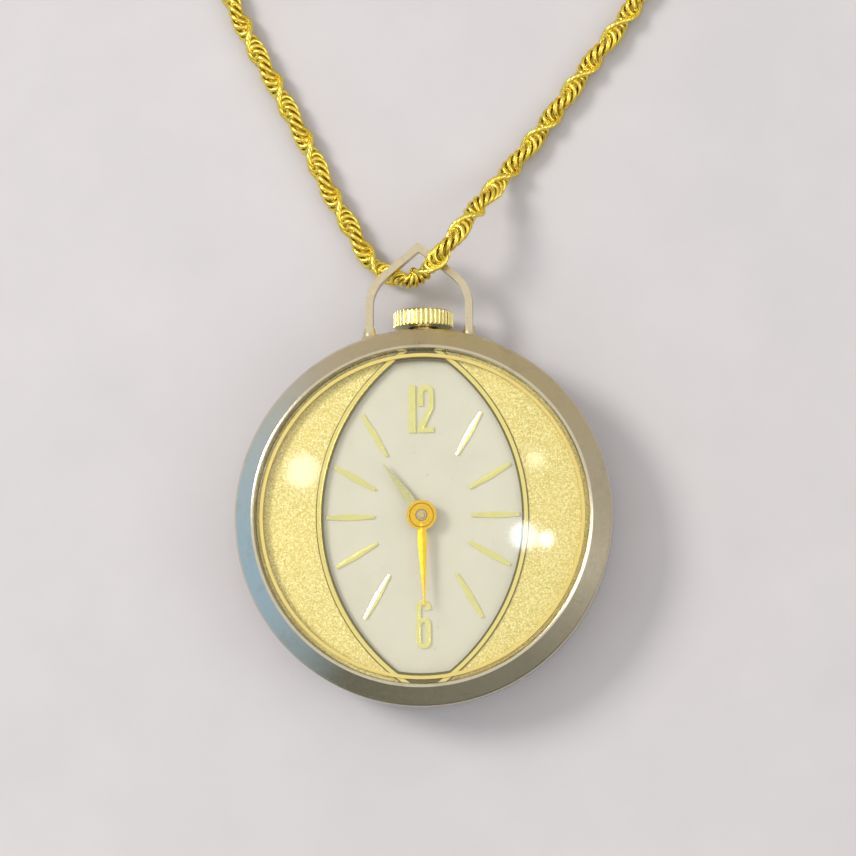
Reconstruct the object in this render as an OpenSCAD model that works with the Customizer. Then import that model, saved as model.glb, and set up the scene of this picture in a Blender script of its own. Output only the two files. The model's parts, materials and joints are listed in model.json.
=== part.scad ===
/* [Case] */
// Diameter of the case across the bezel
case_d = 34; // [33.8:0.1:35]
// Width of the sloping bezel seen from above
bezel_w = 2; // [1.9:0.05:2.1]
// Height of the bezel's top edge above the resting face
bezel_top = 7.5; // [7.4:0.05:7.7]
// Rise of the domed crystal above the bezel's top edge
crystal_rise = 1.8; // [1.7:0.1:2.4]

/* [Mask] */
// Half width of the barrel-shaped opening at the middle
opening_half_w = 8.95; // [8.8:0.05:9.2]
// Radius of the opening's two side arcs
opening_side_r = 17.8; // [17:0.1:19]
// Radius of the arcs that close the opening at 12 and 6 o'clock
opening_end_r = 14.05; // [13.6:0.05:14.1]
// Width of the polished lip around the opening
lip_w = 0.55; // [0.3:0.05:0.6]

/* [Hands] */
// Length of the minute hand from the post to the tip
minute_len = 8; // [6:0.1:9]
// Length of the hour hand from the post to the tip
hour_len = 5.9; // [4:0.1:6.5]
// Bearing of the minute hand, clockwise from 12 o'clock
minute_bearing = 178.7; // [0:0.1:360]
// Bearing of the hour hand, clockwise from 12 o'clock
hour_bearing = 324; // [0:0.1:360]

/* [Crown] */
// Diameter of the crown
crown_d = 5.5; // [4.5:0.1:5.8]
// Number of flutes cut round the crown
crown_flutes = 40; // [30:1:44]

/* [Bail] */
// Half width of the bail at its feet
bail_half_w = 4.88; // [4.8:0.01:5.1]
// Width of the bail's wire seen from above
bail_wire = 0.65; // [0.6:0.01:0.8]
// Thickness of the bail's wire, front to back
bail_depth = 1.1; // [1:0.05:1.1]
// Distance by which the bail is soldered to the left of 12 o'clock
bail_offset = 0.3; // [0:0.05:0.4]

/* [Chain] */
// Diameter of the rope chain
chain_d = 1.9; // [1.7:0.1:1.9]

/* [Hidden] */
$fn = 96;

// Colours
steel = [0.74, 0.74, 0.72];
champagne = [0.72, 0.67, 0.56];
gold = [0.88, 0.73, 0.32];
pale_gold = [0.80, 0.78, 0.50];
brass = [0.82, 0.68, 0.36];
ruby = [0.80, 0.10, 0.25];

// Case: radii
case_r = case_d / 2;
glass_r = case_r - bezel_w;
neck_r = glass_r + 0.9;
flange_r = case_r - 0.7;
back_flat_r = 11.5;
snap_r = 15.4;
fit = 0.03;

// Case: heights above the resting face
flange_z = 1.9;
shoulder_z = 5.6;
neck_z = 6.3;
dial_z = 5.45;
dial_top = 5.8;
mask_top = 6.5;
skirt_top = bezel_top + 0.3;
bail_z = 3.75;
stem_z = 3.2;

// Crystal: a shell between two spheres
crystal_top = bezel_top + crystal_rise;
crystal_t = 0.8;
crystal_rise_in = crystal_top - skirt_top;
crystal_ball_r = (glass_r * glass_r + crystal_rise_in * crystal_rise_in) / (2 * crystal_rise_in);
crystal_ball_z = crystal_top - crystal_ball_r;

// Movement: plate and bridge levels
movement_r = 11.65;
recess_r = 11.2;
plate_z = 3.3;
recess_z = 4.75;
bridge_z = 1.2;
bridge_t = 0.7;
bridge_r = 11.3;
pivot_r = 0.1;
arbor_r = 0.22;

// Movement: wheels as [teeth, module]
barrel_teeth = [84, 0.12];
centre_leaves = [12, 0.12];
centre_teeth = [80, 0.09];
third_leaves = [10, 0.09];
third_teeth = [75, 0.085];
fourth_leaves = [10, 0.085];
fourth_teeth = [70, 0.075];
escape_leaves = [7, 0.075];
cannon_leaves = [10, 0.12];
minute_teeth = [30, 0.12];
minute_leaves = [8, 0.12];
hour_teeth = [32, 0.12];
setting_teeth = [20, 0.12];
crown_teeth = [28, 0.15];
ratchet_teeth = [60, 0.15];
winding_teeth = [25, 0.15];
escape_r = 2.1;
balance_r = 4;

// Movement: centres, each wheel a mesh distance from the one that drives it
function mesh_gap(a, b) = (a[0] * a[1] + b[0] * b[1]) / 2;
function polar(r, a) = [r * cos(a), r * sin(a)];
barrel_angle = 150;
third_angle = 20;
fourth_angle = -5;
escape_angle = -80;
lever_angle = -140;
barrel_at = polar(mesh_gap(barrel_teeth, centre_leaves), barrel_angle);
third_at = polar(mesh_gap(centre_teeth, third_leaves), third_angle);
fourth_at = third_at + polar(mesh_gap(third_teeth, fourth_leaves), fourth_angle);
escape_at = fourth_at + polar(mesh_gap(fourth_teeth, escape_leaves), escape_angle);
pallet_at = escape_at + polar(2.5, lever_angle);
balance_at = escape_at + polar(5.3, lever_angle);
winding_gap = mesh_gap(ratchet_teeth, crown_teeth);
crown_wheel_at = [0, barrel_at[1] + sqrt(winding_gap * winding_gap - barrel_at[0] * barrel_at[0])];
minute_wheel_at = [0, mesh_gap(cannon_leaves, minute_teeth)];
setting_at = minute_wheel_at + [0, mesh_gap(minute_teeth, setting_teeth)];
lever_pivot = [2.8, 10.3];
yoke_pivot = [-3.4, 7.53];
click_pivot = barrel_at + polar(6.3, 214);
cock_foot = [-1.5, -9];
dial_feet_at = [polar(10.2, 35), polar(10.2, 215)];
bridge_feet = [[8.9, 5.6], [4.6, 8.6], [-9.9, -2.2], [-3.5, 10]];

// Chain: route of each half from the bail to the coil, and the coil it is stored in
coil_at = [1.3, 70];
coil_inner_r = 6.65;
coil_outer_r = 14.25;
coil_h = 2 * chain_d;
cap_z = 1.2;
left_loop_at = [-3.6, 2];
left_heading = 60;
right_loop_at = [3.32, 2.52];
right_heading = 120;
jump_at = [2.19, 2.52];
clasp_at = [-0.33, 2.52];
clasp_r = 2.1;
clasp_tube = 0.4;
gate_start = 60;
gate_open = 40;
left_route = [
    [-1.1, 22.1, 3.1], [-2.3, 22.4, 1.95], [-3.5, 23.0, 1.3], [-4.5, 23.7, 1.05], [-5.4, 24.8, 0.95],
    [-6.6, 27.0, 0.95], [-8.6, 30.5, 0.95], [-10.4, 34.4, 0.95], [-12.4, 38.4, 0.95],
    [-14.6, 42.6, 0.95], [-16.7, 46.6, 0.95], [-18.3, 50.6, 0.95], [-18.8, 54.8, 0.95],
    [-18.1, 59.0, 0.95], [-16.5, 62.8, 0.95], [-14.4, 66.6, 0.95], [-13.2, 70.0, 0.95]];
right_route = [
    [-1.1, 22.1, 3.1], [0.2, 22.45, 4.5], [1.2, 23.15, 5.35], [2.1, 24.1, 5.8], [3.0, 25.2, 5.8],
    [4.1, 26.8, 5.3], [5.1, 28.3, 4.2], [6.1, 29.8, 2.9], [7.2, 31.3, 1.8], [8.6, 33.2, 1.1],
    [10.4, 35.4, 0.95], [13.0, 38.8, 0.95], [15.6, 42.3, 0.95], [18.2, 45.6, 0.95],
    [20.6, 49.2, 0.95], [21.8, 53.4, 0.95], [21.7, 57.8, 1.2], [20.3, 62.0, 2.0],
    [17.6, 66.0, 2.7], [15.8, 70.0, 2.85]];

// ---------- shared shapes ----------

// Ring of rectangular section
module ring(outer, inner, h) {
    linear_extrude(h) difference() {
        circle(outer);
        circle(inner);
    }
}

// Four corners of one gear tooth: root, tip, tip, root
function tooth(a, pitch, root, tip) = [
    polar(root, a - 0.28 * pitch), polar(tip, a - 0.1 * pitch),
    polar(tip, a + 0.1 * pitch), polar(root, a + 0.28 * pitch)];

// Outline of a spur gear given as [teeth, module]
module gear_outline(g) {
    r = g[0] * g[1] / 2;
    pitch = 360 / g[0];
    teeth = [for (i = [0 : g[0] - 1]) tooth(i * pitch, pitch, r - 1.1 * g[1], r + 0.8 * g[1])];
    polygon([for (t = teeth) each t]);
}

// Gear whose first tooth points along the angle turn
module gear(g, h, turn = 0) {
    rotate(turn) linear_extrude(h) gear_outline(g);
}

// Half a tooth, which puts a gap where a tooth would be
function half_tooth(g) = 180 / g[0];

// Openings between the four spokes of a wheel
module spoke_windows(outer, inner, spoke) {
    for (a = [0 : 90 : 270])
        rotate(a) intersection() {
            difference() {
                circle(outer);
                circle(inner);
            }
            translate([spoke, spoke]) square(outer);
        }
}

// Train wheel: a toothed rim on four spokes
module spoked_gear(g, h, turn) {
    r = g[0] * g[1] / 2;
    rotate(turn) linear_extrude(h) difference() {
        gear_outline(g);
        spoke_windows(r - 0.5, 0.75, 0.16);
    }
}

// Arbor between plate and bridge with a thin pivot at each end
module arbor() {
    translate([0, 0, bridge_z + 0.1]) cylinder(r = pivot_r, h = plate_z - bridge_z + 0.35);
    translate([0, 0, bridge_z + bridge_t + 0.05])
        cylinder(r = arbor_r, h = plate_z - bridge_z - bridge_t - 0.1);
}

// Blade with a ridge along its middle, pointing along +Y
module ridged_blade(outline, half_w, base, ridge) {
    len = max([for (p = outline) p[1]]);
    low = min([for (p = outline) p[1]]);
    intersection() {
        linear_extrude(ridge) polygon(outline);
        translate([0, len, 0]) rotate([90, 0, 0]) linear_extrude(len - low)
            polygon([[-half_w, 0], [half_w, 0], [half_w, base], [0, ridge], [-half_w, base]]);
    }
}

// Flat bar with round ends between two points
module bar(a, b, width, h) {
    d = b - a;
    translate([a[0], a[1], 0]) {
        cylinder(d = width, h = h);
        rotate(atan2(d[1], d[0])) translate([0, -width / 2, 0]) cube([norm(d), width, h]);
    }
    translate([b[0], b[1], 0]) cylinder(d = width, h = h);
}

// Flat spiral spring
module spiral(r0, r1, turns, t, h) {
    steps = turns * 20;
    inner = [for (i = [0 : steps]) polar(r0 + (r1 - r0) * i / steps, 18 * i)];
    outer = [for (i = [steps : -1 : 0]) polar(r0 + t + (r1 - r0) * i / steps, 18 * i)];
    linear_extrude(h) polygon(concat(inner, outer));
}

// ---------- case ----------

module case_middle() {
    side_r = 8;
    color(champagne) difference() {
        rotate_extrude() difference() {
            union() {
                intersection() {
                    translate([case_r - side_r, 4.2]) circle(side_r);
                    translate([glass_r - 1, flange_z]) square([4, shoulder_z - flange_z]);
                }
                translate([glass_r - 1, 5]) square([neck_r - glass_r + 1, neck_z - 5]);
            }
            translate([0, dial_z]) square([glass_r + 0.1, 2]);
            translate([0, 0]) square([glass_r - 0.1, 5]);
            translate([0, 0]) square([snap_r + fit, 2.6]);
            translate([snap_r + 0.1, 0]) square([0.45, 2.25]);
        }
        translate([0, glass_r - 1, stem_z]) rotate([-90, 0, 0]) cylinder(r = 0.9, h = 4);
    }
}

module bezel() {
    color(champagne) rotate_extrude() polygon([
        [case_r, shoulder_z], [case_r, 6.02], [case_r - 0.05, 6.12], [case_r - 0.18, 6.24],
        [glass_r + 0.34, bezel_top - 0.06], [glass_r + 0.2, bezel_top], [glass_r + 0.1, bezel_top - 0.03],
        [glass_r + fit, bezel_top - 0.12], [glass_r + fit, neck_z + 0.05],
        [neck_r + fit, neck_z + 0.05], [neck_r + fit, shoulder_z]]);
}

// Snap-on back: flat centre that the watch lies on, curved up to a flange, with a snap wall inside
module case_back() {
    rise = flange_r - back_flat_r;
    curve_r = (rise * rise + flange_z * flange_z) / (2 * flange_z);
    wall = 0.5;
    color(steel) difference() {
        rotate_extrude() {
            square([back_flat_r, wall]);
            intersection() {
                translate([back_flat_r, curve_r]) difference() {
                    circle(curve_r);
                    circle(curve_r - wall);
                }
                translate([back_flat_r, 0]) square([rise, flange_z]);
            }
            translate([snap_r - wall, 1.4]) square([wall, 0.85]);
        }
        rotate(-135) translate([flange_r - 0.5, -1.2, flange_z - 0.25]) cube([2, 2.4, 1]);
    }
}

module case_back_gasket() {
    color([0.15, 0.15, 0.15]) translate([0, 0, flange_z + 0.01]) ring(snap_r + 0.53, snap_r + 0.12, 0.32);
}

module crystal() {
    skirt_t = 0.35;
    color([0.9, 0.95, 1, 0.35]) rotate_extrude() {
        intersection() {
            translate([0, crystal_ball_z]) difference() {
                circle(crystal_ball_r, $fn = 720);
                circle(crystal_ball_r - crystal_t, $fn = 720);
            }
            translate([0, mask_top]) square([glass_r, 4]);
        }
        translate([glass_r - skirt_t, mask_top + 0.01]) square([skirt_t, skirt_top - mask_top - 0.2]);
    }
}

module tension_ring() {
    color(gold) translate([0, 0, mask_top + 0.01]) ring(glass_r - 0.38, glass_r - 0.68, 0.45);
}

// Barrel-shaped opening of the mask, grown outward by grow
module opening(grow) {
    shift = opening_side_r - opening_half_w;
    intersection() {
        translate([-shift, 0]) circle(opening_side_r + grow, $fn = 360);
        translate([shift, 0]) circle(opening_side_r + grow, $fn = 360);
        circle(opening_end_r + grow, $fn = 360);
    }
}

// Grained plate, a raised polished bead round the opening and a lower ledge inside the bead
module dial_mask() {
    ledge = 0.45 * lip_w;
    color(gold) translate([0, 0, dial_top + 0.01]) {
        linear_extrude(0.5) difference() {
            circle(glass_r - 0.02, $fn = 180);
            opening(lip_w);
        }
        linear_extrude(0.42) difference() {
            opening(lip_w);
            opening(0);
        }
        linear_extrude(mask_top - dial_top - 0.02) difference() {
            opening(lip_w);
            opening(ledge);
        }
    }
}

// Outer edge of the bail moved inward by inset: straight legs, round shoulders and a pointed roof
module bail_outline(inset) {
    shoulder_r = 4;
    shoulder_y = 19.4;
    roof_angle = 39.7;
    peak_r = 0.25;
    shoulder_steps = 16;
    peak_steps = 4;
    turn = 90 - roof_angle;
    centre_x = bail_half_w - shoulder_r;
    r = shoulder_r - inset;
    peak_y = shoulder_y + (r + centre_x * sin(roof_angle) - peak_r) / cos(roof_angle);
    shoulder = [for (i = [0 : shoulder_steps])
        [centre_x, shoulder_y] + polar(r, turn * i / shoulder_steps)];
    peak = [for (i = [0 : peak_steps - 1])
        [0, peak_y] + polar(peak_r, turn + roof_angle * i / peak_steps)];
    half = concat([[bail_half_w - inset, 15.9]], shoulder, peak);
    polygon(concat(half, [for (i = [len(half) - 1 : -1 : 0]) [-half[i][0], half[i][1]]]));
}

// Bail with two flared feet soldered to the case
module bail() {
    foot_y = 16.1;
    color(champagne) difference() {
        translate([-bail_offset, 0, 0]) {
            translate([0, 0, bail_z - bail_depth / 2]) linear_extrude(bail_depth) difference() {
                bail_outline(0);
                bail_outline(bail_wire);
                translate([0, 15]) square([2 * bail_half_w - 2 * bail_wire, 2.6], center = true);
            }
            for (side = [-1, 1])
                translate([side * (bail_half_w - bail_wire / 2), foot_y, bail_z]) rotate([-90, 0, 0]) {
                    cylinder(r1 = 1, r2 = 0.66, h = 0.6);
                    translate([0, 0, 0.6]) cylinder(r1 = 0.66, r2 = 0.45, h = 0.8);
                }
        }
        cylinder(r = case_r + 0.01, h = 10, $fn = 360);
    }
}

module case_tube() {
    color(brass) translate([0, glass_r - 0.05, stem_z]) rotate([-90, 0, 0]) ring(0.9, 0.6, 3.3);
}

module movement_ring() {
    color(steel) difference() {
        translate([0, 0, 2.7]) ring(glass_r - 0.15, movement_r + 0.06, 2.25);
        translate([0, 10, stem_z]) rotate([-90, 0, 0]) cylinder(r = 0.85, h = 6);
    }
}

// ---------- dial and hands ----------

module dial() {
    color([0.87, 0.86, 0.80]) difference() {
        union() {
            translate([0, 0, dial_z]) cylinder(r = glass_r - 0.05, h = dial_top - dial_z, $fn = 180);
            for (p = dial_feet_at) translate([p[0], p[1], 4.2]) cylinder(r = 0.3, h = 1.4);
        }
        translate([0, 0, 4]) cylinder(r = 0.85, h = 3);
    }
}

// Applied baton: pointed at both ends, widest in the middle, ridged along its length
module baton(inner, outer) {
    len = outer - inner;
    half_w = 0.27;
    tip = 0.12;
    ridged_blade([[-tip, inner], [tip, inner], [half_w, inner + 0.45 * len], [half_w, inner + 0.6 * len],
        [tip + 0.02, outer], [-tip - 0.02, outer], [-half_w, inner + 0.6 * len],
        [-half_w, inner + 0.45 * len]], half_w, 0.1, 0.2);
}

// Ten batons, in mirrored sets that follow the barrel-shaped opening
module hour_markers() {
    spans = [[3, 4.35, 8.7], [2, 4.9, 9.15], [1, 6.3, 10.7], [4, 4.75, 9.0], [5, 6.05, 10.55]];
    color(pale_gold) translate([0, 0, dial_top]) for (s = spans, side = [-1, 1])
        rotate(-side * 30 * s[0]) baton(s[1], s[2]);
}

// Applied numeral stroke in two steps, so that its edges look bevelled
module stepped(low = 0.16, high = 0.28) {
    translate([0, 0, dial_top]) {
        linear_extrude(low) children(0);
        linear_extrude(high) children(1);
    }
}

// Figure 1 as a plain bar and figure 2 with a round head, a slanting neck and a flat foot
module twelve_outline(thin) {
    stroke = 0.46 - 2 * thin;
    translate([-1.14 + thin, 7.55 + thin]) square([0.6 - 2 * thin, 4.3 - 2 * thin]);
    translate([0.4, 11.15]) difference() {
        intersection() {
            circle(0.7 - thin);
            translate([-1, 0]) square([2, 1]);
        }
        circle(0.24 + thin);
    }
    translate([-0.3 + thin, 9.95 + thin]) square([stroke, 1.22 - thin]);
    translate([0.64 + thin, 9.75]) square([stroke, 1.42]);
    polygon([[1.1 - thin, 9.78], [0.64 + thin, 9.78], [-0.34 + thin, 7.95], [-0.34 + thin, 7.75],
        [0.12 - thin, 7.75]]);
    translate([-0.34 + thin, 7.55 + thin]) square([1.44 - 2 * thin, stroke]);
}

module numeral_twelve() {
    color(pale_gold) stepped() {
        twelve_outline(0);
        twelve_outline(0.13);
    }
}

// Figure 6 as a tall slot-shaped bowl under an open hook
module six_outline(thin) {
    outer = 0.65 - thin;
    inner = 0.23 + thin;
    difference() {
        union() {
            for (y = [-11.2, -9.75]) translate([0, y]) circle(outer);
            translate([-outer, -11.2]) square([2 * outer, 1.45]);
        }
        for (y = [-11.2, -9.75]) translate([0, y]) circle(inner);
        translate([-inner, -11.2]) square([2 * inner, 1.45]);
    }
    translate([-outer, -9.8]) square([outer - inner, 1.65]);
    translate([0, -8.2]) intersection() {
        difference() {
            circle(outer);
            circle(inner);
        }
        translate([-1, -0.2 + thin]) square([2, 2]);
    }
}

module numeral_six() {
    color(pale_gold) stepped() {
        six_outline(0);
        six_outline(0.12);
    }
}

module hour_hand() {
    bore = 0.7;
    color(pale_gold) difference() {
        translate([0, 0, 6.42]) {
            cylinder(r = 1.05, h = 0.12);
            rotate(-hour_bearing) ridged_blade([[-0.25, 0.4], [0.25, 0.4], [0.42, 0.36 * hour_len],
                [0.03, hour_len], [-0.03, hour_len], [-0.42, 0.36 * hour_len]], 0.42, 0.07, 0.17);
        }
        translate([0, 0, 6]) cylinder(r = bore, h = 1);
    }
}

// Minute hand: a round boss with a turned groove and a long tapering blade
module minute_hand() {
    color(gold) difference() {
        translate([0, 0, 6.8]) {
            cylinder(r = 1.35, h = 0.16);
            cylinder(r = 0.75, h = 0.24);
            rotate(-minute_bearing) ridged_blade([[-0.3, 0.5], [0.3, 0.5], [0.42, 0.28 * minute_len],
                [0.04, minute_len], [-0.04, minute_len], [-0.42, 0.28 * minute_len]], 0.42, 0.08, 0.19);
        }
        translate([0, 0, 6.87]) ring(1.14, 1, 1);
        translate([0, 0, 6]) cylinder(r = 0.45, h = 2);
    }
}

// ---------- motion works ----------

module cannon_pinion() {
    color(steel) difference() {
        union() {
            translate([0, 0, 4.85]) gear(cannon_leaves, 0.25, 90 + half_tooth(cannon_leaves));
            translate([0, 0, 4.85]) cylinder(r = 0.44, h = 2.2);
        }
        translate([0, 0, 4]) cylinder(r = 0.32, h = 4);
    }
}

module hour_wheel() {
    color(brass) difference() {
        union() {
            translate([0, 0, 5.13]) gear(hour_teeth, 0.17, 90 + half_tooth(hour_teeth));
            translate([0, 0, 5.13]) cylinder(r = 0.69, h = 1.45);
        }
        translate([0, 0, 4]) cylinder(r = 0.49, h = 4);
    }
}

module minute_wheel() {
    color(brass) translate([minute_wheel_at[0], minute_wheel_at[1], 0]) difference() {
        union() {
            translate([0, 0, 4.88]) gear(minute_teeth, 0.15, -90);
            translate([0, 0, 4.88]) gear(minute_leaves, 0.45, -90);
        }
        translate([0, 0, 4]) cylinder(r = 0.23, h = 3);
    }
}

module setting_wheel() {
    color(steel) translate([setting_at[0], setting_at[1], 0]) difference() {
        translate([0, 0, 3.98]) gear(setting_teeth, 1.05, -90 + half_tooth(setting_teeth));
        translate([0, 0, 3]) cylinder(r = 0.33, h = 3);
    }
}

// ---------- winding and setting ----------

// Places a shape on the stem's axis, with its +Z along +Y
module on_stem(y) {
    translate([0, y, stem_z]) rotate([-90, 0, 0]) children();
}

module crown() {
    crown_r = crown_d / 2;
    flute_r = 0.16;
    color(gold) on_stem(17.5) difference() {
        rotate_extrude() difference() {
            polygon([[0, 0], [crown_r - 0.15, 0], [crown_r, 0.15], [crown_r, 1.2],
                [crown_r - 0.1, 1.37], [crown_r - 0.35, 1.51], [crown_r - 0.75, 1.59], [0, 1.67]]);
            square([1.35, 0.85]);
            square([0.38, 1.4]);
        }
        for (i = [1 : crown_flutes]) rotate(360 * i / crown_flutes)
            translate([crown_r + 0.02, 0, -1]) cylinder(r = flute_r, h = 4, $fn = 24);
    }
}

module crown_gasket() {
    color([0.12, 0.12, 0.12]) on_stem(17.55) ring(1.33, 0.93, 0.3);
}

// Stem: threaded end, round shaft with the lever's groove, square for the sliding pinion, pilot
module winding_stem() {
    color(steel) {
        on_stem(10.1) cylinder(r = 0.5, h = 8.2);
        on_stem(18.2) cylinder(r = 0.36, h = 0.65);
        on_stem(9.6) cylinder(r = 0.3, h = 0.6);
        on_stem(8.37) cylinder(r = 0.5, h = 1.33);
        on_stem(6.65) translate([-0.35, -0.35, 0]) cube([0.7, 0.7, 1.8]);
        on_stem(5.5) cylinder(r = 0.24, h = 1.2);
    }
}

module winding_pinion() {
    color(steel) on_stem(8.42) difference() {
        gear(winding_teeth, 0.88, 90);
        translate([0, 0, -1]) cylinder(r = 0.53, h = 4);
    }
}

// Sliding pinion: square bore, a groove for the yoke and radial teeth on its front face
module sliding_pinion() {
    color(steel) on_stem(7.35) difference() {
        cylinder(r = 1, h = 1);
        translate([-0.38, -0.38, -1]) cube([0.76, 0.76, 3]);
        translate([0, 0, 0.38]) ring(2, 0.68, 0.28);
        for (a = [0 : 45 : 315]) rotate(a) translate([0.62, -0.11, -1]) cube([1, 0.22, 1.2]);
    }
}

module setting_lever() {
    color(steel) difference() {
        union() {
            translate([0, 0, 4.8]) bar(lever_pivot, [0, 9.9], 0.7, 0.25);
            translate([0, 9.9, stem_z + 0.36]) cylinder(r = 0.12, h = 4.9 - stem_z - 0.36);
        }
        translate([lever_pivot[0], lever_pivot[1], 4]) cylinder(r = 0.2, h = 2);
    }
}

module yoke() {
    color(steel) difference() {
        union() {
            translate([0, 0, 4.8]) bar(yoke_pivot, [0, 7.86], 0.6, 0.2);
            translate([0, 7.86, 3.95]) cylinder(r = 0.11, h = 0.95);
        }
        translate([yoke_pivot[0], yoke_pivot[1], 4]) cylinder(r = 0.2, h = 2);
    }
}

module yoke_spring() {
    color(steel) translate([0, 0, 4.8]) {
        bar([-6.6, 4.4], [-4.2, 6.2], 0.25, 0.18);
        bar([-4.2, 6.2], [-2, 6.8], 0.18, 0.18);
        translate([-6.8, 4.2, 0]) cylinder(r = 0.6, h = 0.18);
    }
}

// Cover plate over the keyless works
module setting_lever_spring() {
    color(steel) translate([0, 0, 5.1]) linear_extrude(0.2) difference() {
        intersection() {
            translate([-4.4, 8.3]) square([8.8, 3]);
            circle(recess_r - 0.15);
        }
        translate([-2, 7]) square([2.8, 2.45]);
    }
}

module crown_wheel() {
    toward = atan2(barrel_at[1] - crown_wheel_at[1], barrel_at[0] - crown_wheel_at[0]);
    color(steel) translate([crown_wheel_at[0], crown_wheel_at[1], 0.88]) difference() {
        gear(crown_teeth, 0.3, toward);
        translate([0, 0, -1]) cylinder(r = 0.53, h = 3);
    }
}

module ratchet_wheel() {
    toward = atan2(crown_wheel_at[1] - barrel_at[1], crown_wheel_at[0] - barrel_at[0]);
    color(steel) translate([barrel_at[0], barrel_at[1], 0.88]) difference() {
        gear(ratchet_teeth, 0.3, toward + half_tooth(ratchet_teeth));
        translate([0, 0, -1]) cylinder(r = 0.5, h = 3);
    }
}

module ratchet_screw() {
    color(steel) translate([barrel_at[0], barrel_at[1], 0]) {
        difference() {
            translate([0, 0, 0.6]) cylinder(r = 1, h = 0.27);
            translate([-2, -0.1, 0.5]) cube([4, 0.2, 0.2]);
        }
        translate([0, 0, 0.8]) cylinder(r = 0.2, h = 1.5);
    }
}

// Click: a pivoted pawl whose nose stops just short of the ratchet's tooth tips
module click() {
    nose = barrel_at + polar(4.9, 226);
    color(steel) difference() {
        translate([0, 0, 0.9]) {
            bar(click_pivot, nose, 0.5, 0.25);
            translate([click_pivot[0], click_pivot[1], 0]) cylinder(r = 0.7, h = 0.25);
        }
        translate([click_pivot[0], click_pivot[1], 0]) cylinder(r = 0.3, h = 3);
    }
}

module click_spring() {
    color(steel) translate([0, 0, 0.9]) {
        bar([-6.2, -3.6], [-8.2, -3.3], 0.16, 0.2);
        translate([-6.0, -3.6, 0]) cylinder(r = 0.4, h = 0.2);
    }
}

// ---------- barrel and train ----------

module barrel_arbor() {
    color(steel) translate([barrel_at[0], barrel_at[1], 0]) difference() {
        union() {
            translate([0, 0, 0.9]) cylinder(r = 0.48, h = 0.4);
            translate([0, 0, 1.21]) cylinder(r = 0.6, h = 1.15);
            translate([0, 0, 2.3]) cylinder(r = 0.5, h = 0.25);
            translate([0, 0, 2.57]) cylinder(r = 0.7, h = 0.9);
            translate([0, 0, 2.3]) cylinder(r = 0.33, h = 2);
        }
        translate([0, 0, 0]) cylinder(r = 0.22, h = 2.35);
    }
}

module barrel_drum() {
    color(brass) translate([barrel_at[0], barrel_at[1], 2.4]) difference() {
        union() {
            gear(barrel_teeth, 0.35, barrel_angle + 180);
            cylinder(r = 4.7, h = 1.25);
        }
        translate([0, 0, 0.15]) cylinder(r = 4.45, h = 2);
        translate([0, 0, -1]) cylinder(r = 0.55, h = 2);
    }
}

module barrel_cover() {
    color(brass) translate([barrel_at[0], barrel_at[1], 3.5]) ring(4.43, 0.4, 0.13);
}

module mainspring() {
    color(steel) translate([barrel_at[0], barrel_at[1], 2.62]) spiral(0.75, 4.2, 8, 0.12, 0.8);
}

module centre_wheel() {
    color(brass) {
        translate([0, 0, 2.05]) spoked_gear(centre_teeth, 0.2, third_angle);
        translate([0, 0, 2.2]) gear(centre_leaves, 0.6, barrel_angle + half_tooth(centre_leaves));
        translate([0, 0, bridge_z + 0.1]) cylinder(r = 0.3, h = 7.25 - bridge_z - 0.1);
    }
}

module third_wheel() {
    color(brass) translate([third_at[0], third_at[1], 0]) {
        arbor();
        translate([0, 0, 2.98]) spoked_gear(third_teeth, 0.15, fourth_angle);
        translate([0, 0, 2]) gear(third_leaves, 0.35, third_angle + 180 + half_tooth(third_leaves));
    }
}

module fourth_wheel() {
    color(brass) translate([fourth_at[0], fourth_at[1], 0]) {
        arbor();
        translate([0, 0, 2.5]) spoked_gear(fourth_teeth, 0.15, escape_angle);
        translate([0, 0, 2.9]) gear(fourth_leaves, 0.3, fourth_angle + 180 + half_tooth(fourth_leaves));
    }
}

// Fifteen hooked teeth
module escape_wheel() {
    teeth = 15;
    pitch = 360 / teeth;
    points = [for (i = [0 : teeth - 1]) each [polar(1.6, i * pitch), polar(escape_r, (i + 0.42) * pitch),
        polar(escape_r, (i + 0.55) * pitch), polar(1.75, (i + 0.6) * pitch)]];
    color(steel) translate([escape_at[0], escape_at[1], 0]) {
        arbor();
        translate([0, 0, 2.8]) linear_extrude(0.12) difference() {
            polygon(points);
            spoke_windows(1.3, 0.6, 0.14);
        }
        translate([0, 0, 2.44]) gear(escape_leaves, 0.3, escape_angle + 180 + half_tooth(escape_leaves));
    }
}

// Pallet fork: two arms with pallets by the escape wheel and a slotted lever by the balance
module pallet_fork() {
    color(steel) translate([pallet_at[0], pallet_at[1], 0]) {
        arbor();
        translate([0, 0, 2.82]) rotate(lever_angle) difference() {
            union() {
                bar([0, 0], [2.05, 0], 0.26, 0.12);
                bar([0, -1.1], [0, 1.1], 0.26, 0.12);
                for (side = [-1, 1]) bar([0, side * 1.1], [-0.42, side * 1.1], 0.2, 0.12);
                translate([1.9, -0.3, 0]) cube([0.3, 0.6, 0.12]);
            }
            translate([1.9, -0.12, -1]) cube([1, 0.24, 3]);
        }
    }
}

module balance_wheel() {
    color(brass) translate([balance_at[0], balance_at[1], 0]) {
        translate([0, 0, 1.4]) ring(balance_r, balance_r - 0.4, 0.35);
        for (a = [0, 90]) rotate(a) translate([-balance_r + 0.2, -0.15, 1.5])
            cube([2 * balance_r - 0.4, 0.3, 0.15]);
        translate([0, 0, 0.95]) cylinder(r = pivot_r, h = 2.7);
        translate([0, 0, 1.12]) cylinder(r = 0.25, h = 2.1);
        translate([0, 0, 2.6]) cylinder(r = 0.9, h = 0.14);
        rotate(lever_angle + 180) translate([0.75, 0, 2.6]) cylinder(r = 0.07, h = 0.4);
    }
}

module hairspring() {
    color([0.3, 0.35, 0.6]) translate([balance_at[0], balance_at[1], 1.18])
        spiral(0.32, 2.2, 9, 0.06, 0.14);
}

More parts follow.
